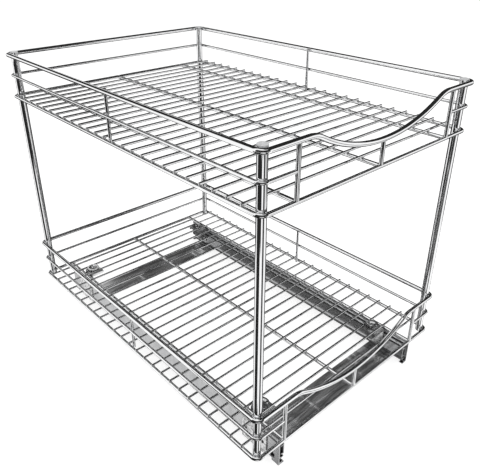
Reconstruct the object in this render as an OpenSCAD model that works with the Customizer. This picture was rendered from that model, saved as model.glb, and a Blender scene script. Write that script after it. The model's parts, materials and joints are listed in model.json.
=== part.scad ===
// Two-tier pull out cabinet basket on full-extension ball slides.
// Origin: middle of the footprint, on the cabinet floor. +X right, +Y to the back, +Z up.

/* [Basket] */
// Width over the upper top rail
basket_w = 358; // [330:1:420]
// Depth over the upper top rail, front to back
basket_d = 533; // [526:1:600]
// Rise from the lower basket to the upper basket
tier_rise = 310; // [220:5:420]
// Wall height, from the floor rail to the top rail
wall_h = 60; // [52:1:90]
// Height of the middle rail above the floor rail
mid_rail_h = 31; // [18:1:40]
// Depth of the dip in the front top rail
dip_depth = 29.5; // [15:0.5:38]
// Bend radius of the rod where the dip starts
dip_shoulder_r = 37; // [20:1:60]
// Distance from an outer front picket to the start of the dip
dip_margin = 9.5; // [6:0.5:20]

/* [Wire] */
// Diameter of the top rails
top_rail_d = 6; // [5:0.5:7]
// Diameter of the middle rails
mid_rail_d = 4; // [3:0.5:5]
// Diameter of the floor rails
floor_rail_d = 5; // [4:0.5:6]
// Diameter of the front pickets
picket_d = 5; // [4:0.5:5]
// Diameter of the side pickets
side_picket_d = 4; // [3:0.5:4.5]
// Diameter of the stiffener wires under the floor
stiffener_d = 5; // [4:0.5:5]
// Diameter of the floor wires
wire_d = 3.2; // [2.5:0.1:4]
// Target spacing of the floor wires
wire_spacing = 20; // [18:1:24]
// Gap from the front rail to the first floor wire
wire_front_gap = 25; // [20:1:35]
// Gap from the last floor wire to the back rail
wire_rear_gap = 19.6; // [15:0.2:30]
// How far a floor wire runs past the middle of the side rail
wire_overhang = 1.5; // [0:0.5:2.5]

/* [Tubes] */
// Outer diameter of the posts and of the upper corner tubes
post_d = 10.5; // [10:0.5:14]
// Outer diameter of the lower corner tubes
corner_tube_d = 9.3; // [8.8:0.1:9.8]
// Wall of every tube
tube_wall = 1; // [0.8:0.1:1.4]
// Distance that a joint stud reaches into each tube
stud_reach = 18; // [10:1:24]
// Diameter of an end cap
cap_d = 10.9; // [10.6:0.1:15]
// Thickness of an end cap above its tube
cap_t = 1.6; // [1:0.1:3]
// Height of the tube end above the middle of the top rail
tube_top = 2.6; // [1:0.2:6]

/* [Slides] */
// Height of the outer slide member
slide_h = 37; // [35:1:45]
// Length of the outer slide member
slide_len = 508; // [480:2:510]
// Travel of the basket
travel = 500; // [440:5:500]
// Distance from the basket's side to the slide's outer face
slide_inset = 43.2; // [38:0.2:60]
// Distance from the basket's front to the slide's front end
slide_setback = 6; // [4:0.5:12]
// Sheet thickness of the slide members
sheet_t = 1.2; // [1:0.1:1.3]
// Diameter of the balls
ball_d = 4.76; // [4.5:0.02:5]
// Spacing of the balls in a cage
ball_pitch = 20; // [16:1:24]
// Sheet thickness of the ball cages
cage_t = 0.5; // [0.4:0.1:0.6]

/* [Base] */
// Sheet thickness of the cross plates
plate_t = 1.5; // [1.2:0.1:2.5]
// Width of a cross plate, front to back
plate_w = 43; // [38:1:55]
// Distance from a slide's end to the middle of the nearer cross plate
plate_setback = 42; // [34:1:80]
// Height of the ears that hold the slides
ear_h = 34; // [28:1:36]
// Spacing of the two rivets in an ear
ear_rivet_pitch = 30; // [24:1:32]
// Side-to-side spacing of the screw holes
screw_spacing = 200; // [120:5:220]
// Diameter of the screw holes in the cross plates
screw_hole_d = 5; // [4:0.5:6]

/* [Clamps] */
// Width of a clamp bracket, front to back
clamp_w = 24; // [22:1:32]
// Length of a bracket's top flange
clamp_reach = 22; // [20:1:32]
// Distance from the slide's inner face to the clamp screw
clamp_screw_x = 10.5; // [10.5:0.5:14]
// Sheet thickness of the clamp brackets
clamp_t = 1.5; // [1.2:0.1:2]
// Thread diameter of the clamp screws
clamp_screw_d = 5; // [4:0.5:5]
// Outer diameter of the dished washers
washer_d = 19.5; // [19:0.5:22]

/* [Hidden] */
$fn = 48;
weld_gap = 0.05;        // between pieces that are welded or rest on each other
fit_gap = 0.1;          // radial, studs and cap stems in their tubes
race_gap = 0.07;        // radial, ball in its race
pocket_gap = 0.05;      // radial, ball in its cage
rest_gap = 0.3;         // slide member to its stop at rest
slide_clearance = 1.5;  // top of the slide to the basket above it
end_clearance = 4;      // ball cage to the end of a member at full travel
cut_over = 1;           // how far a cutting shape runs past what it cuts

// Slide section: u runs from the outer face inwards, v up from the middle.
race_angle = 55;        // direction from an outer ball down to the inner ball
outer_lip_angle = 25;   // where each race ends, seen from its ball
mid_lip_angles = [-105, 30];
inner_lip_angles = [-120, -25];
cage_side_gap = 0.4;    // cage strip to the webs beside it
inner_cage_gap = 0.5;
cage_lip = 0.6;         // cage flange past the balls
inner_web_drop = 1.2;   // end of the inner member's web to the middle of its balls
race_in = ball_d / 2 + race_gap;
race_out = race_in + sheet_t;
outer_ball_u = race_out;
outer_ball_v = slide_h / 2 - race_out;
inner_ball_u = outer_ball_u + (race_in + race_out) * cos(race_angle);
inner_ball_v = outer_ball_v - (race_in + race_out) * sin(race_angle);
slide_t = inner_ball_u + race_out;
outer_cage_u = sheet_t + cage_side_gap;
mid_web_u = outer_cage_u + cage_t + cage_side_gap;
inner_cage_u = mid_web_u + sheet_t + inner_cage_gap;

// Heights
slide_z = plate_t + weld_gap + slide_h / 2;
lower_z = plate_t + slide_h + slide_clearance + floor_rail_d / 2;
upper_z = lower_z + tier_rise;
wire_z = floor_rail_d / 2 + wire_d / 2 + weld_gap;      // above the floor rail
wire_under = floor_rail_d / 2 + weld_gap;               // underside of the floor wires

// Tube axes and rail lines
tube_x = (basket_w - post_d) / 2 - top_rail_d - weld_gap;
tube_y = (basket_d - post_d) / 2 - top_rail_d - weld_gap;
function rail_off(tube_d, rod_d) = (tube_d + rod_d) / 2 + weld_gap;

// Slide, stiffener and picket places
slide_out = basket_w / 2 - slide_inset;
slide_y0 = slide_setback - basket_d / 2;
picket_x = slide_out - slide_t / 2;
member_step = 2;
bumper_len = 10.7;
member_len = slide_len - member_step - bumper_len - rest_gap;
cage_start = member_step + travel / 4 + end_clearance;
cage_room = member_len - travel / 2 - 2 * end_clearance;
cage_margin = 8;
ball_count = floor((cage_room - 2 * cage_margin) / ball_pitch) + 1;
cage_len = (ball_count - 1) * ball_pitch + 2 * cage_margin;

// Floor wire places
wire_span = basket_d - top_rail_d - wire_front_gap - wire_rear_gap;
wire_gaps = round(wire_span / wire_spacing);
wire_pitch = wire_span / wire_gaps;
function wire_y(i) = (top_rail_d - basket_d) / 2 + wire_front_gap + i * wire_pitch;
// The clamp screws sit midway between two floor wires, the rear ones where the slide still holds them
clamp_end = 14.5;       // clamp screw to the end of its slide member, at least
rear_clamp_gap = min(wire_gaps - 2,
    floor((slide_y0 + member_step + member_len - clamp_end - wire_y(0.5)) / wire_pitch));
clamp_ys = [wire_y(1.5), wire_y(rear_clamp_gap + 0.5)];

// Dip: one long arc between two shoulder arcs
dip_half = picket_x - picket_d / 2 - dip_margin;
dip_turn = 2 * atan(dip_depth / dip_half);
dip_r = dip_half / sin(dip_turn) - dip_shoulder_r;
lap = 0.2;
swell = 0.01;

// Joint between the tubes
seat_gap = 0.2;         // post to the top rail that it stands beside
post_drop = 4;          // post's upper end below the upper floor rail
post_seat = let (side = rail_off(corner_tube_d, top_rail_d) - post_d / 2)
    sqrt(pow(top_rail_d / 2, 2) - side * side) + seat_gap;
post_z0 = lower_z + wall_h + post_seat;
post_z1 = upper_z - floor_rail_d / 2 - post_drop;
cap_stem = 8;
cap_edge = 0.4;

// Small hardware
rivet_d = 3.2;
rivet_head_d = 5;
rivet_head_t = 1;
screw_x = slide_out - slide_t - clamp_screw_x;
nut_d = 9.2;            // across the corners
nut_t = 4;
washer_t = 1.2;
washer_dish = 2;        // drop of the washer's middle below its rim
washer_slack = 0.3;     // radial, washer round its screw
washer_flat = 2.5;      // width of the flat ring round the bore
washer_slope = 2.5;     // width of the slope outside it
washer_crease = 0.5;    // how much narrower the dish is on top
screw_head_d = 8.6;
screw_head_t = 2.8;
screw_tail = 1.5;       // screw below its nut
screw_hole_slack = 0.4;
recess_len = 4.4;       // cross recess in the screw head
recess_w = 1;
recess_depth = 1.5;
ear_cut = 6;            // side of the square that slopes an ear's corner
foot_len = 12;
foot_reach = 9;
slot_len = 7;           // slot in the outer member, near its front end
slot_h = 10;
slot_from_end = 7.3;
slot_top = -3.9;        // top of the slot, from the middle of the slide
side_picket_gap = 2.5;  // side picket to the floor wire behind it

steel = [0.80, 0.81, 0.82];
zinc = [0.72, 0.73, 0.74];
black = [0.10, 0.10, 0.11];
grey = [0.76, 0.77, 0.78];

// ---------- helpers ----------

// Round rod along X from x0 to x1
module rod_x(d, x0, x1) translate([x0, 0, 0]) rotate([0, 90, 0]) cylinder(d = d, h = x1 - x0);

// Round rod along Y from y0 to y1
module rod_y(d, y0, y1) translate([0, y1, 0]) rotate([90, 0, 0]) cylinder(d = d, h = y1 - y0);

// Round rod along Z from z0 to z1
module rod_z(d, z0, z1) translate([0, 0, z0]) cylinder(d = d, h = z1 - z0);

// Bent rod in the XY plane: from angle a0, turning by a
module bend(r, d, a0, a) rotate([0, 0, a0]) rotate_extrude(angle = a) translate([r, 0]) circle(d = d);

// Bent rod in the XZ plane, the angle measured from +X towards +Z
module bend_up(r, d, a0, a) rotate([90, 0, 0]) bend(r, d, a0, a);

// Tube with its axis on Z
module tube(d, z0, z1)
    difference() {
        rod_z(d, z0, z1);
        rod_z(d - 2 * tube_wall, z0 - cut_over, z1 + cut_over);
    }

// Its children at the four tube axes
module at_corners() for (x = [-1, 1], y = [-1, 1]) translate([x * tube_x, y * tube_y, 0]) children();

// Its children on the left or, mirrored, on the right
module on_side(side) mirror([side > 0 ? 1 : 0, 0, 0]) children();

// Section in u, v drawn out along Y, on the left slide
module slide_extrude(y0, len)
    translate([-slide_out, y0 + len, slide_z]) rotate([90, 0, 0]) linear_extrude(len) children();

// Part of a ball race round [u, v], from angle a0 to a1
module race(u, v, a0, a1)
    translate([u, v]) intersection() {
        difference() { circle(r = race_out); circle(r = race_in); }
        polygon(concat([[0, 0]],
            [for (k = [0:4]) let (a = a0 + (a1 - a0) * k / 4) 2 * race_out * [cos(a), sin(a)]]));
    }

// Its children once above and once below the middle of the slide
module up_and_down() { children(); mirror([0, 1]) children(); }

// ---------- base ----------

module cross_plate(y) {
    ear_u = slide_out + weld_gap;
    ear_top = plate_t + ear_h;
    bend_in = 1.2;
    module half()
        translate([0, y + plate_w / 2, 0]) rotate([90, 0, 0]) linear_extrude(plate_w) {
            square([ear_u - bend_in, plate_t]);
            translate([ear_u - bend_in, plate_t + bend_in]) intersection() {
                difference() { circle(r = bend_in + plate_t); circle(r = bend_in); }
                translate([0, -bend_in - plate_t - cut_over]) square(bend_in + plate_t + cut_over);
            }
            translate([ear_u, plate_t + bend_in]) square([plate_t, ear_h - bend_in]);
        }
    difference() {
        union() { half(); mirror([1, 0, 0]) half(); }
        for (x = [-1, 1]) translate([x * screw_spacing / 2, y, 0])
            rod_z(screw_hole_d, -cut_over, plate_t + cut_over);
        for (s = [-1, 1]) translate([0, y + s * ear_rivet_pitch / 2, slide_z])
            rod_x(rivet_d + 2 * pocket_gap, -ear_u - plate_t - cut_over, ear_u + plate_t + cut_over);
        // corners of the ears, cut at a slope
        for (s = [-1, 1]) translate([0, y + s * plate_w / 2, ear_top])
            rotate([45, 0, 0]) cube([3 * slide_out, ear_cut, ear_cut], center = true);
    }
}
front_plate_y = slide_y0 + plate_setback;
rear_plate_y = slide_y0 + slide_len - plate_setback;
plate_ys = [front_plate_y, rear_plate_y];
module front_cross_plate() color(steel) cross_plate(front_plate_y);
module rear_cross_plate() color(steel) cross_plate(rear_plate_y);

// Outer member: web with a ball race rolled along each edge
module outer_profile() {
    translate([0, -outer_ball_v]) square([sheet_t, 2 * outer_ball_v]);
    up_and_down() race(outer_ball_u, outer_ball_v, outer_lip_angle, 180);
}

// Foot at one end of the outer member, turned in along the floor
module slide_foot(y) {
    translate([-slide_out, y, 0]) cube([sheet_t, foot_len, slide_z - outer_ball_v]);
    translate([-slide_out, y, 0]) cube([foot_reach, foot_len / 2, sheet_t]);
}

module outer_slide(side) color(zinc) on_side(side)
    difference() {
        union() {
            slide_extrude(slide_y0, slide_len) outer_profile();
            slide_foot(slide_y0);
            translate([0, 2 * slide_y0 + slide_len, 0]) mirror([0, 1, 0]) slide_foot(slide_y0);
        }
        for (y = plate_ys, s = [-1, 1]) translate([-slide_out, y + s * ear_rivet_pitch / 2, slide_z])
            rod_x(rivet_d + 2 * pocket_gap, -cut_over, sheet_t + cut_over);
        // slot near the front end
        translate([-slide_out - cut_over, slide_y0 + slot_from_end, slide_z + slot_top - slot_h])
            cube([sheet_t + 2 * cut_over, slot_len, slot_h]);
    }
module outer_slide_left() outer_slide(-1);
module outer_slide_right() outer_slide(1);

// Rivet on X: head outside, tail flush at u1
module rivet(u0, u1) {
    dome = rivet_head_d / 1.6;
    rod_x(rivet_d, u0, u1);
    translate([u0, 0, 0]) intersection() {
        rotate([0, -90, 0]) cylinder(d = rivet_head_d, h = rivet_head_t);
        translate([dome, 0, 0]) sphere(r = dome + rivet_head_t);
    }
}
module plate_rivets() color(zinc) for (side = [-1, 1]) on_side(side)
    for (y = plate_ys, s = [-1, 1])
        translate([-slide_out, y + s * ear_rivet_pitch / 2, slide_z])
            rivet(-plate_t - weld_gap, sheet_t);

// Rubber stop behind the middle and inner members
module rear_bumpers() color(black) for (side = [-1, 1]) on_side(side)
    slide_extrude(slide_y0 + slide_len - bumper_len, bumper_len)
        translate([sheet_t, -inner_ball_v]) square([inner_ball_u - sheet_t, 2 * inner_ball_v]);

// ---------- moving slide members ----------

// Ball cage: a strip with a flange along each edge and a pocket for each ball
module ball_cage(side, u, web_u, v, reach) color(steel) on_side(side)
    difference() {
        slide_extrude(slide_y0 + cage_start, cage_len) difference() {
            translate([web_u, -v - cage_t / 2]) square([reach, 2 * v + cage_t]);
            translate([web_u + cage_t, cage_t / 2 - v]) square([reach, 2 * v - cage_t]);
        }
        cage_balls(u, v, ball_d + 2 * pocket_gap);
    }
module cage_balls(u, v, d)
    for (s = [-1, 1], i = [0:ball_count - 1])
        translate([u - slide_out, slide_y0 + cage_start + cage_margin + i * ball_pitch, slide_z + s * v])
            sphere(d = d);

outer_cage_reach = outer_ball_u + ball_d / 2 + pocket_gap + cage_lip - outer_cage_u;
inner_cage_reach = inner_ball_u + ball_d / 2 + pocket_gap + cage_lip - inner_cage_u;
module outer_cage_left() ball_cage(-1, outer_ball_u, outer_cage_u, outer_ball_v, outer_cage_reach);
module outer_cage_right() ball_cage(1, outer_ball_u, outer_cage_u, outer_ball_v, outer_cage_reach);
module inner_cage_left() ball_cage(-1, inner_ball_u, inner_cage_u, inner_ball_v, inner_cage_reach);
module inner_cage_right() ball_cage(1, inner_ball_u, inner_cage_u, inner_ball_v, inner_cage_reach);
module outer_balls_left() color(steel) on_side(-1) cage_balls(outer_ball_u, outer_ball_v, ball_d);
module outer_balls_right() color(steel) on_side(1) cage_balls(outer_ball_u, outer_ball_v, ball_d);
module inner_balls_left() color(steel) on_side(-1) cage_balls(inner_ball_u, inner_ball_v, ball_d);
module inner_balls_right() color(steel) on_side(1) cage_balls(inner_ball_u, inner_ball_v, ball_d);

// Middle member: web, then an S-bend that runs under the outer ball and over the inner one
module middle_profile() {
    web_top = outer_ball_v - (race_in + race_out) / 2;
    translate([mid_web_u, -web_top]) square([sheet_t, 2 * web_top]);
    up_and_down() {
        race(outer_ball_u, outer_ball_v, mid_lip_angles[0], -race_angle);
        race(inner_ball_u, inner_ball_v, mid_lip_angles[1], 180 - race_angle);
    }
}
module middle_slide(side) color(zinc) on_side(side)
    slide_extrude(slide_y0 + member_step, member_len) middle_profile();
module middle_slide_left() middle_slide(-1);
module middle_slide_right() middle_slide(1);

// Inner member: web with a race along each edge, under the inner balls
module inner_profile() {
    web_v = inner_ball_v - inner_web_drop;
    translate([slide_t - sheet_t, -web_v]) square([sheet_t, 2 * web_v]);
    up_and_down() race(inner_ball_u, inner_ball_v, inner_lip_angles[0], inner_lip_angles[1]);
}
bracket_rivet_pitch = 15;
bracket_lead = 3;       // middle of a bracket ahead of its screw
bracket_ys = [for (y = clamp_ys) y - bracket_lead];
module inner_slide(side) color(zinc) on_side(side)
    difference() {
        slide_extrude(slide_y0 + member_step, member_len) inner_profile();
        for (y = bracket_ys, s = [-1, 1])
            translate([slide_t - slide_out, y + s * bracket_rivet_pitch / 2, slide_z])
                rod_x(rivet_d + 2 * pocket_gap, -sheet_t - cut_over, cut_over);
    }
module inner_slide_left() inner_slide(-1);
module inner_slide_right() inner_slide(1);

// ---------- clamps ----------

bracket_u = slide_t + weld_gap;
bracket_top = lower_z + wire_under - weld_gap;
bracket_bend = 2.5;
bracket_drop = 8;       // foot of a bracket below the middle of the slide
bracket_foot = slide_z - bracket_drop;
lip_h = 4;

module clamp_bracket(side, y) color(steel) on_side(side)
    translate([bracket_u - slide_out, y, 0]) difference() {
        union() {
            translate([0, clamp_w / 2, 0]) rotate([90, 0, 0]) linear_extrude(clamp_w) {
                translate([0, bracket_foot]) square([clamp_t, bracket_top - bracket_bend - bracket_foot]);
                translate([bracket_bend, bracket_top - bracket_bend]) intersection() {
                    difference() { circle(r = bracket_bend); circle(r = bracket_bend - clamp_t); }
                    translate([-bracket_bend - cut_over, 0]) square(bracket_bend + cut_over);
                }
                translate([bracket_bend, bracket_top - clamp_t])
                    square([clamp_reach - bracket_bend, clamp_t]);
            }
            // lips turned down along the front and back edges of the flange
            for (s = [-1, 1]) translate([bracket_bend, s * (clamp_w - clamp_t) / 2 - clamp_t / 2,
                    bracket_top - lip_h])
                cube([clamp_reach - bracket_bend, clamp_t, lip_h - clamp_t / 2]);
        }
        translate([clamp_screw_x, bracket_lead, 0])
            rod_z(clamp_screw_d + screw_hole_slack, bracket_top - clamp_t - cut_over, bracket_top + cut_over);
        for (s = [-1, 1]) translate([0, s * bracket_rivet_pitch / 2, slide_z])
            rod_x(rivet_d + 2 * pocket_gap, -cut_over, clamp_t + cut_over);
    }
module front_left_bracket() clamp_bracket(-1, bracket_ys[0]);
module front_right_bracket() clamp_bracket(1, bracket_ys[0]);
module rear_left_bracket() clamp_bracket(-1, bracket_ys[1]);
module rear_right_bracket() clamp_bracket(1, bracket_ys[1]);

module bracket_rivets() color(zinc) for (side = [-1, 1]) on_side(side)
    for (y = bracket_ys, s = [-1, 1])
        translate([bracket_u + clamp_t - slide_out, y + s * bracket_rivet_pitch / 2, slide_z])
            mirror([1, 0, 0]) rivet(0, clamp_t + weld_gap + sheet_t);

// Its children at the four clamp screws, in the left-hand frame
module at_clamps() for (x = [-1, 1], y = clamp_ys) translate([x * screw_x, y, 0]) children();

washer_z = lower_z + wire_z + wire_d / 2 + weld_gap;
module clamp_washers() color(steel) at_clamps() translate([0, 0, washer_z]) {
    bore_r = clamp_screw_d / 2 + washer_slack;
    hub_r = bore_r + washer_flat;
    brim_r = hub_r + washer_slope;
    rotate_extrude() polygon([[bore_r, -washer_dish], [hub_r, -washer_dish], [brim_r, 0],
        [washer_d / 2, 0], [washer_d / 2, washer_t], [brim_r - washer_crease, washer_t],
        [hub_r - washer_crease, washer_t - washer_dish], [bore_r, washer_t - washer_dish]]);
}

module clamp_screws() color(steel) at_clamps() {
    head_z = washer_z - washer_dish + washer_t + weld_gap;
    head_r = screw_head_d / 2;
    difference() {
        union() {
            rod_z(clamp_screw_d, bracket_top - clamp_t - nut_t - screw_tail, head_z + screw_head_t / 4);
            translate([0, 0, head_z]) rotate_extrude() polygon([[0, 0], [head_r, 0],
                [head_r, 0.43 * screw_head_t], [0.89 * head_r, 0.75 * screw_head_t],
                [0.565 * head_r, screw_head_t], [0, screw_head_t]]);
        }
        for (a = [0, 90]) rotate([0, 0, a])
            translate([-recess_len / 2, -recess_w / 2, head_z + screw_head_t - recess_depth])
                cube([recess_len, recess_w, recess_depth + cut_over]);
    }
}
module clamp_nuts() color(zinc) at_clamps()
    translate([0, 0, bracket_top - clamp_t - nut_t - weld_gap]) difference() {
        cylinder(d = nut_d, h = nut_t, $fn = 6);
        translate([0, 0, -cut_over])
            cylinder(d = clamp_screw_d + 2 * pocket_gap, h = nut_t + 2 * cut_over);
    }

// ---------- baskets ----------

// Two side rods, the back rod and the four corner bends of a rail
module rail_sides(tube_d, d) {
    off = rail_off(tube_d, d);
    for (x = [-1, 1]) translate([x * (tube_x + off), 0, 0]) rod_y(d, -tube_y, tube_y);
    translate([0, tube_y + off, 0]) rod_x(d, -tube_x, tube_x);
    translate([tube_x, tube_y, 0]) bend(off, d, 0, 90);
    translate([-tube_x, tube_y, 0]) bend(off, d, 90, 90);
    translate([-tube_x, -tube_y, 0]) bend(off, d, 180, 90);
    translate([tube_x, -tube_y, 0]) bend(off, d, 270, 90);
}

// Front rod of a top rail, dipped in the middle. The two shoulder bends are a hair
// thicker than the rods that lap into them.
module dipped_rod(d) {
    for (x = [-1, 1]) {
        rod_x(d, x < 0 ? -tube_x : dip_half - lap, x < 0 ? lap - dip_half : tube_x);
        translate([x * dip_half, 0, -dip_shoulder_r])
            bend_up(dip_shoulder_r, d + 2 * swell, x < 0 ? 90 - dip_turn : 90, dip_turn);
    }
    turn = dip_turn + lap / dip_r * 180 / PI;
    translate([0, 0, dip_r - dip_depth]) bend_up(dip_r, d, 270 - turn, 2 * turn);
}

module top_rail(z, tube_d) color(steel) translate([0, 0, z + wall_h]) {
    rail_sides(tube_d, top_rail_d);
    translate([0, -tube_y - rail_off(tube_d, top_rail_d), 0]) dipped_rod(top_rail_d);
}

module floor_rail(z, tube_d) color(steel) translate([0, 0, z]) {
    rail_sides(tube_d, floor_rail_d);
    translate([0, -tube_y - rail_off(tube_d, floor_rail_d), 0]) rod_x(floor_rail_d, -tube_x, tube_x);
}

// Middle rail: open at the front, where its ends meet the outer pickets
module middle_rail(z, tube_d) color(steel) difference() {
    translate([0, 0, z + mid_rail_h]) {
        rail_sides(tube_d, mid_rail_d);
        for (x = [-1, 1]) translate([0, -tube_y - rail_off(tube_d, mid_rail_d), 0])
            rod_x(mid_rail_d, x < 0 ? -tube_x : picket_x, x < 0 ? -picket_x : tube_x);
    }
    for (x = [-1, 1]) translate([x * picket_x, picket_y(tube_d), z])
        rod_z(picket_d + 2 * weld_gap, 0, wall_h);
}

function picket_y(tube_d) = -tube_y - rail_off(tube_d, floor_rail_d);

// Front pickets, coped to the rails above and below them
module front_pickets(z, tube_d) color(steel) difference() {
    for (k = [-1:1]) translate([k * picket_x, picket_y(tube_d), z])
        rod_z(picket_d, floor_rail_d / 4, wall_h - (k == 0 ? dip_depth : 0) - top_rail_d / 4);
    translate([0, picket_y(tube_d), z])
        rod_x(floor_rail_d + 2 * weld_gap, -2 * picket_x, 2 * picket_x);
    translate([0, -tube_y - rail_off(tube_d, top_rail_d), z + wall_h])
        dipped_rod(top_rail_d + 2 * weld_gap);
}

// Side pickets stand inside the rails, just in front of the middle floor wire
module side_pickets(z, tube_d) color(steel) {
    y = wire_y(floor(wire_gaps / 2)) - (wire_d + side_picket_d) / 2 - side_picket_gap;
    for (x = [-1, 1]) translate([x * (tube_x + (tube_d - side_picket_d) / 2), y, z])
        rod_z(side_picket_d, -floor_rail_d / 4, wall_h + top_rail_d / 4);
}

module floor_wires(z, tube_d) color(steel) {
    reach = tube_x + rail_off(tube_d, floor_rail_d) + wire_overhang;
    for (i = [0:wire_gaps]) translate([0, wire_y(i), z + wire_z]) rod_x(wire_d, -reach, reach);
}

// Stiffeners run under the floor wires, from the front floor rail to the back one
module stiffeners(z, tube_d) color(steel) {
    end = tube_y + rail_off(tube_d, floor_rail_d) - floor_rail_d / 2 - weld_gap;
    for (k = [-1:1]) translate([k * picket_x, 0, z + (floor_rail_d - stiffener_d) / 2])
        rod_y(stiffener_d, -end, end);
}

module lower_top_rail() top_rail(lower_z, corner_tube_d);
module lower_middle_rail() middle_rail(lower_z, corner_tube_d);
module lower_floor_rail() floor_rail(lower_z, corner_tube_d);
module lower_floor_wires() floor_wires(lower_z, corner_tube_d);
module lower_stiffeners() stiffeners(lower_z, corner_tube_d);
module lower_front_pickets() front_pickets(lower_z, corner_tube_d);
module lower_side_pickets() side_pickets(lower_z, corner_tube_d);
module upper_top_rail() top_rail(upper_z, post_d);
module upper_middle_rail() middle_rail(upper_z, post_d);
module upper_floor_rail() floor_rail(upper_z, post_d);
module upper_floor_wires() floor_wires(upper_z, post_d);
module upper_stiffeners() stiffeners(upper_z, post_d);
module upper_front_pickets() front_pickets(upper_z, post_d);
module upper_side_pickets() side_pickets(upper_z, post_d);

// ---------- tubes, posts and caps ----------

module lower_corner_tubes() color(steel) at_corners()
    tube(corner_tube_d, lower_z - floor_rail_d / 2, post_z0);
module upper_corner_tubes() color(steel) at_corners()
    tube(post_d, post_z1 + weld_gap, upper_z + wall_h + tube_top);

module post(x, y) color(steel) translate([x * tube_x, y * tube_y, 0])
    tube(post_d, post_z0 + weld_gap, post_z1);
module front_left_post() post(-1, -1);
module front_right_post() post(1, -1);
module rear_left_post() post(-1, 1);
module rear_right_post() post(1, 1);

stud_d = post_d - 2 * tube_wall - 2 * fit_gap;
lower_stud_d = corner_tube_d - 2 * tube_wall - 2 * fit_gap;
// Stepped studs: the shoulder rests on the end of the lower corner tube
module lower_studs() color(zinc) at_corners() {
    rod_z(lower_stud_d, post_z0 - stud_reach, post_z0 + 2 * weld_gap);
    rod_z(stud_d, post_z0 + 2 * weld_gap, post_z0 + stud_reach);
}
module upper_studs() color(zinc) at_corners()
    rod_z(stud_d, post_z1 - stud_reach, post_z1 + stud_reach);

module post_caps() color(grey) at_corners() {
    top = upper_z + wall_h + tube_top + weld_gap;
    rod_z(stud_d, top - cap_stem, top);
    translate([0, 0, top]) rotate_extrude() polygon([[0, 0], [cap_d / 2, 0],
        [cap_d / 2, cap_t - cap_edge], [cap_d / 2 - cap_edge, cap_t], [0, cap_t]]);
}

front_cross_plate();
rear_cross_plate();
outer_slide_left();
outer_slide_right();
plate_rivets();
rear_bumpers();
outer_cage_left();
outer_cage_right();
outer_balls_left();
outer_balls_right();
middle_slide_left();
middle_slide_right();
inner_cage_left();
inner_cage_right();
inner_balls_left();
inner_balls_right();
inner_slide_left();
inner_slide_right();
front_left_bracket();
front_right_bracket();
rear_left_bracket();
rear_right_bracket();
bracket_rivets();
clamp_screws();
clamp_washers();
clamp_nuts();
lower_top_rail();
lower_middle_rail();
lower_floor_rail();
lower_floor_wires();
lower_stiffeners();
lower_front_pickets();
lower_side_pickets();
lower_corner_tubes();
front_left_post();
front_right_post();
rear_left_post();
rear_right_post();
lower_studs();
upper_studs();
upper_top_rail();
upper_middle_rail();
upper_floor_rail();
upper_floor_wires();
upper_stiffeners();
upper_front_pickets();
upper_side_pickets();
upper_corner_tubes();
post_caps();
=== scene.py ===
import json
import math
import random

import bpy
from mathutils import Matrix, Vector


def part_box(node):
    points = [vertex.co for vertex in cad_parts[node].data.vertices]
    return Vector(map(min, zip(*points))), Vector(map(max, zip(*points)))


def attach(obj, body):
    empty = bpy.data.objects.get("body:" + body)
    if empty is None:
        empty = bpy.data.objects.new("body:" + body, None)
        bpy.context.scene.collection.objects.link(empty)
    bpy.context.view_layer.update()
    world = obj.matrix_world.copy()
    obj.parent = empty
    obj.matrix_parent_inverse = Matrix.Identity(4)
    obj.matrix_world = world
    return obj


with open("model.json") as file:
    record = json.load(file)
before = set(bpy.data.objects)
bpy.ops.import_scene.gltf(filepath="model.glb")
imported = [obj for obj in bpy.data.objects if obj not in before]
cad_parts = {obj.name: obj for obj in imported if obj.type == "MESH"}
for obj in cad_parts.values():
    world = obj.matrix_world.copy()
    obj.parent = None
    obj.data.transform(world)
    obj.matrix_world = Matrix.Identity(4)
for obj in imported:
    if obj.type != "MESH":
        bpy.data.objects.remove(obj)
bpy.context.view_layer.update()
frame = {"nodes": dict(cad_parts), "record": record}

MM = 0.001
random.seed(7)             # for the unevenness of the welds

# ---------- camera ----------

# Fitted to the rails and posts in the photo. Pixels are those of the whole photo.
CAMERA_EYE = Vector((-0.4769, -0.5703, 0.5773))
CAMERA_FORWARD = Vector((0.60045, 0.65085, -0.46460))
CAMERA_RIGHT = Vector((0.73639, -0.67655, 0.00393))
CAMERA_LENS = 41.95        # mm
SENSOR_WIDTH = 36          # mm
CLIP_START = 0.01          # m
CLIP_END = 50              # m
IMAGE_WIDTH = 480          # pixels
IMAGE_HEIGHT = 467         # pixels
PRINCIPAL_POINT = (245.91, 218.50)  # pixels from the left and from the top


def make_camera():
    data = bpy.data.cameras.new("camera")
    data.lens = CAMERA_LENS
    data.sensor_width = SENSOR_WIDTH
    data.shift_x = (IMAGE_WIDTH / 2 - PRINCIPAL_POINT[0]) / IMAGE_WIDTH
    data.shift_y = (PRINCIPAL_POINT[1] - IMAGE_HEIGHT / 2) / IMAGE_WIDTH
    data.clip_start = CLIP_START
    data.clip_end = CLIP_END
    camera = bpy.data.objects.new("camera", data)
    up = CAMERA_RIGHT.cross(CAMERA_FORWARD)
    turn = Matrix((CAMERA_RIGHT, up, -CAMERA_FORWARD)).transposed()
    camera.matrix_world = Matrix.Translation(CAMERA_EYE) @ turn.to_4x4()
    bpy.context.scene.collection.objects.link(camera)
    bpy.context.scene.camera = camera


# ---------- node helpers ----------

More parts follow.
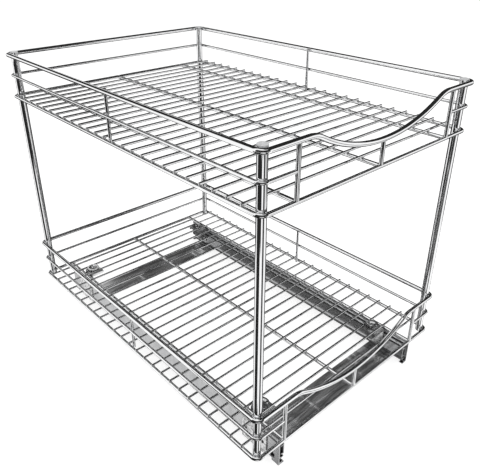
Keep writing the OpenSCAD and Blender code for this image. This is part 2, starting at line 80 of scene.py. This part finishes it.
class Tree:
    """A few shorthands for building a node tree."""

    def __init__(self, node_tree):
        self.nodes = node_tree.nodes
        self.links = node_tree.links

    def add(self, kind, **settings):
        node = self.nodes.new(kind)
        for key, value in settings.items():
            setattr(node, key, value)
        return node

    def link(self, source, target):
        self.links.new(source, target)

    def feed(self, value, socket):
        """Links an output to the socket, or sets a plain value on it."""
        if isinstance(value, bpy.types.NodeSocket):
            self.link(value, socket)
        else:
            socket.default_value = value

    def math(self, operation, first, second=None):
        node = self.add("ShaderNodeMath", operation=operation)
        self.feed(first, node.inputs[0])
        if second is not None:
            self.feed(second, node.inputs[1])
        return node.outputs[0]

    def ramp(self, value, from_low, from_high, to_low=0.0, to_high=1.0):
        """A smooth step between two values."""
        node = self.add("ShaderNodeMapRange", interpolation_type="SMOOTHSTEP")
        self.feed(value, node.inputs["Value"])
        node.inputs["From Min"].default_value = from_low
        node.inputs["From Max"].default_value = from_high
        node.inputs["To Min"].default_value = to_low
        node.inputs["To Max"].default_value = to_high
        return node.outputs["Result"]

    def either(self, first, second):
        """The larger of two values."""
        return self.math("MAXIMUM", first, second)

    def mirrored_ray(self):
        """1 for rays that a surface has mirrored or let through."""
        rays = self.add("ShaderNodeLightPath").outputs
        return self.either(rays["Is Glossy Ray"], rays["Is Transmission Ray"])


# ---------- stage ----------

FLOOR_SIZE = 30.0
STUDIO_WHITE = 1.0
AMBIENT = 0.75             # what diffuse surfaces see of the studio

# Dark sectors of the studio, which bright metal mirrors as lines along its rods:
# azimuth of the middle, half width, lowest and highest elevation, softness of the
# edges, all in degrees, and how dark it is.
SECTORS = [
    (28, 36, 1, 46, 3, 0.98),        # behind: the dark upper lines of cross rods
    (-6, 58, 21, 91, 4, 0.98),       # high on the right: makes those lines thick
    (0, 95, 62, 91, 3, 0.98),        # above: the same line on the sloping rods
    (99, 26, 15, 51, 3, 0.98),       # high on the left: the lines of the side rods
    (80, 32, 38, 62, 3, 0.98),       # high on the left: the lines of the lower side rods
    (40, 57, -54, -13, 4, 0.98),     # low behind: thin dark lower lines
    (105, 13, -31, -12, 3, 0.98),    # low on the left: thin dark lower lines of the side rods
    (40, 70, -12, 0, 3, 0.60),       # level behind: grey, for the posts seen from the back
    (216, 11, -31, -21, 2, 0.98),    # level in front: black lines of posts and pickets
    (233, 29, -21, -9, 2, 0.98),     # level in front and wider: the rear left post
    (194, 34, -53, -46.3, 1, 0.98),  # low in front: the lowest front left tube and picket
    (230, 68, -9, 50, 3, 0.98),      # the dark room behind the camera: crescents on the bends
    (326, 18, -26, -12, 4, 0.80),    # level on the right: the grey edge of the rear post
    (142, 158, -91, -51, 3, 0.98),   # below: the black crescents under the bends
    (322, 23, -91, -62, 3, 0.98),    # and lower on the right, clear of what the slides' ends mirror
]


def sector_mask(tree, azimuth, elevation, row):
    """How dark one sector makes a direction of the studio, 0 to 1."""
    middle, half, low, high, soft, depth = row
    wrapped = tree.math("FLOORED_MODULO", tree.math("SUBTRACT", azimuth, middle - 180), 360)
    away = tree.math("ABSOLUTE", tree.math("SUBTRACT", wrapped, 180))
    inside = tree.ramp(away, half + soft / 2, half - soft / 2)
    above = tree.ramp(elevation, low - soft / 2, low + soft / 2)
    below = tree.ramp(elevation, high + soft / 2, high - soft / 2)
    mask = tree.math("MULTIPLY", inside, tree.math("MULTIPLY", above, below))
    return tree.math("MULTIPLY", mask, depth)


def make_world():
    world = bpy.data.worlds.new("studio")
    bpy.context.scene.world = world
    world.use_nodes = True
    tree = Tree(world.node_tree)
    tree.nodes.clear()
    coords = tree.add("ShaderNodeTexCoord")
    axes = tree.add("ShaderNodeSeparateXYZ")
    tree.link(coords.outputs["Generated"], axes.inputs[0])
    x, y, z = axes.outputs
    azimuth = tree.math("DEGREES", tree.math("ARCTAN2", y, x))
    elevation = tree.math("DEGREES", tree.math("ARCSINE", z))
    dark = 0.0
    for row in SECTORS:
        dark = tree.either(sector_mask(tree, azimuth, elevation, row), dark)
    studio = tree.math("SUBTRACT", STUDIO_WHITE, dark)
    seen = tree.add("ShaderNodeMix", data_type="FLOAT")
    tree.link(tree.mirrored_ray(), seen.inputs["Factor"])
    seen.inputs["A"].default_value = AMBIENT
    tree.link(studio, seen.inputs["B"])
    strength = tree.add("ShaderNodeMix", data_type="FLOAT")
    tree.link(tree.add("ShaderNodeLightPath").outputs["Is Camera Ray"], strength.inputs["Factor"])
    tree.link(seen.outputs["Result"], strength.inputs["A"])
    strength.inputs["B"].default_value = STUDIO_WHITE
    background = tree.add("ShaderNodeBackground")
    background.inputs["Color"].default_value = (1, 1, 1, 1)
    tree.link(strength.outputs["Result"], background.inputs["Strength"])
    output = tree.add("ShaderNodeOutputWorld")
    tree.link(background.outputs[0], output.inputs["Surface"])


FLOOR_GREY = 0.45
FLOOR_GLOW = 0.72          # share of the floor's white that no shadow darkens
FLOOR_DROP = 0.1 * MM      # keeps the floor from flickering through the part's underside


def floor_material():
    """White to the camera with the object's soft shadow, and clear to mirrored rays."""
    material = bpy.data.materials.new("floor_white")
    material.use_nodes = True
    tree = Tree(material.node_tree)
    tree.nodes.clear()
    diffuse = tree.add("ShaderNodeBsdfDiffuse")
    diffuse.inputs["Color"].default_value = (FLOOR_GREY, FLOOR_GREY, FLOOR_GREY, 1)
    glow = tree.add("ShaderNodeEmission")
    glow.inputs["Strength"].default_value = FLOOR_GLOW
    both = tree.add("ShaderNodeAddShader")
    tree.link(diffuse.outputs[0], both.inputs[0])
    tree.link(glow.outputs[0], both.inputs[1])
    clear = tree.add("ShaderNodeBsdfTransparent")
    mix = tree.add("ShaderNodeMixShader")
    tree.link(tree.mirrored_ray(), mix.inputs[0])
    tree.link(both.outputs[0], mix.inputs[1])
    tree.link(clear.outputs[0], mix.inputs[2])
    output = tree.add("ShaderNodeOutputMaterial")
    tree.link(mix.outputs[0], output.inputs["Surface"])
    return material


def make_floor():
    mesh = bpy.data.meshes.new("floor")
    half = FLOOR_SIZE / 2
    corners = [(-half, -half, 0), (half, -half, 0), (half, half, 0), (-half, half, 0)]
    mesh.from_pydata(corners, [], [(0, 1, 2, 3)])
    mesh.materials.append(floor_material())
    floor = bpy.data.objects.new("floor", mesh)
    floor.location.z = -FLOOR_DROP
    bpy.context.scene.collection.objects.link(floor)


def upright(x0, y0, x1, y1, low, high):
    """Corners of a card that stands on edge."""
    return [(x0, y0, low), (x1, y1, low), (x1, y1, high), (x0, y0, high)]


def level(x0, y0, x1, y1, z):
    """Corners of a card that lies flat."""
    return [(x0, y0, z), (x1, y0, z), (x1, y1, z), (x0, y1, z)]


# Dark cards that only mirrored rays see, for the lines on the posts and the shade on
# the right slide: name, four corners, and glow.
CARDS = [
    ("left_card", upright(-0.93, -0.68, -0.93, 0.42, -1.5, 0.25), 0.02),
    ("front_card", upright(-0.30, -0.79, 0.04, -0.79, -1.0, 0.25), 0.06),
    ("under_card", level(-0.03, -0.28, 0.105, 0.32, -0.004), 0.02),
]


def make_cards():
    for name, corners, glow in CARDS:
        mesh = bpy.data.meshes.new(name)
        mesh.from_pydata(corners, [], [(0, 1, 2, 3)])
        material = bpy.data.materials.new(name)
        material.use_nodes = True
        tree = Tree(material.node_tree)
        tree.nodes.clear()
        dim = tree.add("ShaderNodeEmission")
        dim.inputs["Strength"].default_value = glow
        tree.link(dim.outputs[0], tree.add("ShaderNodeOutputMaterial").inputs["Surface"])
        mesh.materials.append(material)
        card = bpy.data.objects.new(name, mesh)
        for rays in ("camera", "diffuse", "transmission", "volume_scatter", "shadow"):
            setattr(card, "visible_" + rays, False)
        bpy.context.scene.collection.objects.link(card)


# Soft boxes that face the basket: name, place, size in metres, power in watts.
LAMPS = [
    ("key_lamp", (-1.1, -1.2, 2.0), 1.3, 16),
    ("fill_lamp", (1.5, -0.6, 1.7), 1.5, 9),
    ("back_lamp", (0.1, 1.6, 1.9), 1.5, 9),
]
LAMP_TARGET = Vector((0, 0, 0.2))


def make_lamps():
    for name, place, size, power in LAMPS:
        data = bpy.data.lights.new(name, "AREA")
        data.size = size
        data.energy = power
        lamp = bpy.data.objects.new(name, data)
        lamp.location = place
        lamp.visible_glossy = False
        lamp.rotation_mode = "QUATERNION"
        lamp.rotation_quaternion = (LAMP_TARGET - Vector(place)).to_track_quat("-Z", "Y")
        bpy.context.scene.collection.objects.link(lamp)


# ---------- finishes ----------

NOISE_RANGE = (0.3, 0.7)   # where a noise pattern has most of its values
OPEN_RANGE = (0.6, 0.97)   # openness of a surface, from full painted shade to none
OPEN_SAMPLES = 16          # rays that measure the openness


class Finish:
    """A principled material with colour, roughness and bump from noise in the part's own space."""

    def __init__(self, name, metallic=0.0):
        self.material = bpy.data.materials.new(name)
        self.material.use_nodes = True
        self.tree = Tree(self.material.node_tree)
        self.shader = self.tree.nodes["Principled BSDF"]
        self.shader.inputs["Metallic"].default_value = metallic
        self.coords = self.tree.add("ShaderNodeTexCoord").outputs["Object"]

    def noise(self, scale, detail, stretch=(1, 1, 1), rough=0.5):
        mapping = self.tree.add("ShaderNodeMapping")
        mapping.inputs["Scale"].default_value = stretch
        self.tree.link(self.coords, mapping.inputs["Vector"])
        node = self.tree.add("ShaderNodeTexNoise")
        node.inputs["Scale"].default_value = scale
        node.inputs["Detail"].default_value = detail
        node.inputs["Roughness"].default_value = rough
        self.tree.link(mapping.outputs[0], node.inputs["Vector"])
        return node.outputs["Fac"]

    def colour(self, value, low, high):
        mix = self.tree.add("ShaderNodeMix", data_type="RGBA")
        self.tree.feed(self.tree.ramp(value, *NOISE_RANGE), mix.inputs["Factor"])
        mix.inputs["A"].default_value = (*low, 1)
        mix.inputs["B"].default_value = (*high, 1)
        self.tree.link(mix.outputs["Result"], self.shader.inputs["Base Color"])

    def roughness(self, value, low, high):
        self.tree.link(self.tree.ramp(value, *NOISE_RANGE, low, high), self.shader.inputs["Roughness"])

    def paint_hollow_shade(self, reach_mm, film):
        """Painted shade: darkens the colour inside the piece's own hollows, where shade falls. Open
        faces keep theirs.
        """
        openness = self.tree.add("ShaderNodeAmbientOcclusion", samples=OPEN_SAMPLES, only_local=True)
        openness.inputs["Distance"].default_value = reach_mm * MM
        socket = self.shader.inputs["Base Color"]
        plain = socket.links[0].from_socket
        mix = self.tree.add("ShaderNodeMix", data_type="RGBA")
        self.tree.feed(self.tree.ramp(openness.outputs["AO"], *OPEN_RANGE), mix.inputs["Factor"])
        mix.inputs["A"].default_value = (film, film, film, 1)
        self.tree.link(plain, mix.inputs["B"])
        self.tree.link(mix.outputs["Result"], socket)

    def bump(self, value, depth_mm, strength):
        node = self.tree.add("ShaderNodeBump")
        node.inputs["Distance"].default_value = depth_mm * MM
        node.inputs["Strength"].default_value = strength
        self.tree.link(value, node.inputs["Height"])
        self.tree.link(node.outputs[0], self.shader.inputs["Normal"])


LOW_TINT = (1, 1.005, 1.015)   # the slight blue of chrome, in its darker haze
HIGH_TINT = (1, 1.003, 1.008)  # and in its brighter haze


def tinted(grey, tint):
    """A grey turned towards the colour of a tint."""
    return [grey * share for share in tint]


def chrome_finish(name="chrome_plate", low=0.92, high=0.98, rough=(0.03, 0.06)):
    """Polished chrome over drawn wire: faint waviness and haze."""
    finish = Finish(name, metallic=1.0)
    haze = finish.noise(120, detail=5)
    finish.colour(haze, tinted(low, LOW_TINT), tinted(high, HIGH_TINT))
    finish.roughness(finish.noise(420, detail=4), *rough)
    finish.bump(finish.noise(260, detail=2), depth_mm=0.02, strength=0.25)
    return finish.material


def zinc_finish():
    """Bright zinc plate on rolled strip, with lines along its length and painted shade in the
    channels.
    """
    finish = Finish("zinc_plate", metallic=0.8)
    lines = finish.noise(900, detail=4, stretch=(1, 0.02, 1))
    finish.colour(finish.noise(60, detail=6, rough=0.7), (0.41, 0.413, 0.42), (0.53, 0.533, 0.54))
    finish.roughness(lines, 0.10, 0.17)
    finish.bump(lines, depth_mm=0.01, strength=0.25)
    # Painted shade: darkens the insides of the channels towards a grey of 0.03.
    finish.paint_hollow_shade(reach_mm=18, film=0.03)
    return finish.material


def sheet_finish():
    """Zinc-plated sheet with painted reflections, light and dark streaks from side to side in its
    colour, and a slight ripple from the press.
    """
    finish = Finish("plated_sheet", metallic=0.8)
    brushed = finish.noise(800, detail=4, stretch=(0.03, 1, 1))
    # Painted reflections: light and dark streaks from side to side in the sheet's colour.
    painted_reflection_streaks = finish.noise(230, detail=3, stretch=(0.10, 1, 1))
    finish.colour(painted_reflection_streaks, (0.26, 0.261, 0.263), (0.82, 0.822, 0.825))
    finish.roughness(brushed, 0.04, 0.10)
    finish.bump(finish.noise(28, detail=3), depth_mm=0.10, strength=0.2)
    return finish.material


def cage_finish():
    """Plain bright strip, pressed and tumbled."""
    finish = Finish("cage_strip", metallic=1.0)
    grain = finish.noise(700, detail=5)
    finish.colour(finish.noise(150, detail=4), (0.52, 0.52, 0.50), (0.68, 0.68, 0.66))
    finish.roughness(grain, 0.28, 0.46)
    finish.bump(grain, depth_mm=0.02, strength=0.3)
    return finish.material


def ball_finish():
    """Ground and polished steel with a film of grease."""
    finish = Finish("ball_polish", metallic=1.0)
    film = finish.noise(500, detail=4)
    finish.colour(film, (0.74, 0.735, 0.72), (0.88, 0.88, 0.87))
    finish.roughness(film, 0.04, 0.16)
    return finish.material


def hardware_finish():
    """Bright zinc on turned and headed parts."""
    finish = Finish("zinc_hardware", metallic=1.0)
    dull = finish.noise(600, detail=5, rough=0.7)
    finish.colour(dull, (0.62, 0.625, 0.63), (0.78, 0.785, 0.79))
    finish.roughness(dull, 0.08, 0.18)
    finish.bump(finish.noise(1500, detail=2), depth_mm=0.01, strength=0.3)
    return finish.material


def rubber_finish():
    """Moulded black rubber with a fine spark texture."""
    finish = Finish("bumper_rubber")
    grain = finish.noise(2500, detail=2)
    finish.colour(finish.noise(200, detail=4), (0.012, 0.012, 0.013), (0.035, 0.034, 0.034))
    finish.roughness(grain, 0.62, 0.82)
    finish.bump(grain, depth_mm=0.05, strength=0.4)
    return finish.material


def cap_finish():
    """Satin light-grey plastic with moulding grain."""
    finish = Finish("cap_plastic")
    grain = finish.noise(1800, detail=3)
    finish.colour(finish.noise(300, detail=4), (0.50, 0.505, 0.51), (0.60, 0.605, 0.61))
    finish.roughness(grain, 0.36, 0.52)
    finish.bump(grain, depth_mm=0.03, strength=0.35)
    return finish.material


FINISHES = {
    "bright_chrome": chrome_finish(),
    "zinc_steel": zinc_finish(),
    "plated_sheet": sheet_finish(),
    "cage_steel": cage_finish(),
    "ball_steel": ball_finish(),
    "zinc_hardware": hardware_finish(),
    "bumper_rubber": rubber_finish(),
    "cap_plastic": cap_finish(),
}
WELD_FINISH = chrome_finish("weld_plate", low=0.74, high=0.88, rough=(0.10, 0.22))


def dress_nodes():
    """Gives every CAD node the finish of its slot in the record."""
    for row in frame["record"]["subparts"]:
        materials = frame["nodes"][row["node"]].data.materials
        materials.clear()
        materials.append(FINISHES[row["material_slot"]])


# ---------- welds and wire ends ----------

def mid_height(node):
    """Z of the middle of a node."""
    low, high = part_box(node)
    return (low.z + high.z) / 2


def thickness(node):
    """Diameter of the level rods in a node."""
    low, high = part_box(node)
    return high.z - low.z


def ball_grid(rings, segments):
    """Points and faces of a ball of radius 1 with its poles along Z."""
    points = [(0, 0, 1)]
    for ring in range(1, rings):
        polar = math.pi * ring / rings
        radius = math.sin(polar)
        height = math.cos(polar)
        for segment in range(segments):
            turn = 2 * math.pi * segment / segments
            points.append((radius * math.cos(turn), radius * math.sin(turn), height))
    points.append((0, 0, -1))
    last = len(points) - 1
    lowest = last - segments
    faces = []
    for this in range(segments):
        after = (this + 1) % segments
        faces.append((0, 1 + this, 1 + after))
        for ring in range(rings - 2):
            upper = 1 + ring * segments
            lower = upper + segments
            faces.append((upper + this, lower + this, lower + after, upper + after))
        faces.append((last, lowest + after, lowest + this))
    return points, faces


WELD_WOBBLE = 0.10         # unevenness of a weld, as a share of its radius
CUT_WOBBLE = 0.02          # and of a rounded wire end


class Lumps:
    """A group of small rounded lumps in one mesh."""

    POINTS, FACES = ball_grid(rings=7, segments=12)

    def __init__(self, name):
        self.name = name
        self.points = []
        self.faces = []

    def add(self, centre, radii, wobble=WELD_WOBBLE):
        first = len(self.points)
        for point in self.POINTS:
            swell = 1 + random.uniform(-wobble, wobble)
            places = zip(centre, point, radii)
            self.points.append([middle + unit * radius * swell for middle, unit, radius in places])
        self.faces.extend([tuple(first + corner for corner in face) for face in self.FACES])

    def finish(self, body, slot, material):
        mesh = bpy.data.meshes.new(self.name)
        mesh.from_pydata(self.points, [], self.faces)
        mesh.polygons.foreach_set("use_smooth", [True] * len(mesh.polygons))
        mesh.materials.append(material)
        piece = bpy.data.objects.new(self.name, mesh)
        bpy.context.scene.collection.objects.link(piece)
        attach(piece, body)


WIRE_COUNT = 25            # floor wires in each tier
ROD_WELD = 2.3 * MM        # half length, along the wire, of its weld on a stiffener
RAIL_WELD = 2.2 * MM       # the same on a side of the floor rail
WELD_REACH = 0.7 * MM      # how far these welds spread beside the wire
WELD_RISE = 0.9 * MM       # their half height
WIRE_END = 0.45 * MM       # how far the rounded end of a wire stands out
CUT_SHARE = 0.96           # radius of that end, as a share of the wire's
END_WELD = (3.0 * MM, 0.9 * MM, 2.2 * MM)  # half sizes, at the end of a stiffener


def wire_lines(tier):
    """Y of each floor wire."""
    low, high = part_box(tier + "_floor_wires")
    radius = thickness(tier + "_floor_wires") / 2
    first, last = low.y + radius, high.y - radius
    gaps = WIRE_COUNT - 1
    return [first + (last - first) * number / gaps for number in range(WIRE_COUNT)]


def stiffener_lines(tier):
    """X of each stiffener."""
    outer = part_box(tier + "_stiffeners")[1].x - thickness(tier + "_stiffeners") / 2
    return [-outer, 0, outer]


def make_welds(tier):
    """The lumps where floor wires and stiffeners are welded, and the rounded wire ends."""
    lumps = Lumps(tier + "_welds")
    rail_diameter = thickness(tier + "_floor_rail")
    side_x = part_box(tier + "_floor_rail")[1].x - rail_diameter / 2
    front_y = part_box(tier + "_floor_rail")[0].y + rail_diameter / 2
    wire_low, wire_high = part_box(tier + "_floor_wires")
    wire_radius = (wire_high.z - wire_low.z) / 2
    weld_radius = wire_radius + WELD_REACH
    cut_radius = wire_radius * CUT_SHARE
    for y in wire_lines(tier):
        for x in stiffener_lines(tier):
            lumps.add((x, y, wire_low.z), (ROD_WELD, weld_radius, WELD_RISE))
        for side in (-1, 1):
            lumps.add((side * side_x, y, wire_low.z), (RAIL_WELD, weld_radius, WELD_RISE))
            wire_end = (side * wire_high.x, y, wire_low.z + wire_radius)
            lumps.add(wire_end, (WIRE_END, cut_radius, cut_radius), CUT_WOBBLE)
    for x in stiffener_lines(tier):
        for end in (-1, 1):
            inner_y = end * abs(front_y) - end * rail_diameter / 2
            lumps.add((x, inner_y, mid_height(tier + "_floor_rail")), END_WELD)
    lumps.finish("basket", "bright_chrome", WELD_FINISH)


make_camera()
make_world()
make_floor()
make_cards()
make_lamps()
dress_nodes()
for tier in ("lower", "upper"):
    make_welds(tier)

bpy.context.scene.view_settings.view_transform = "Standard"
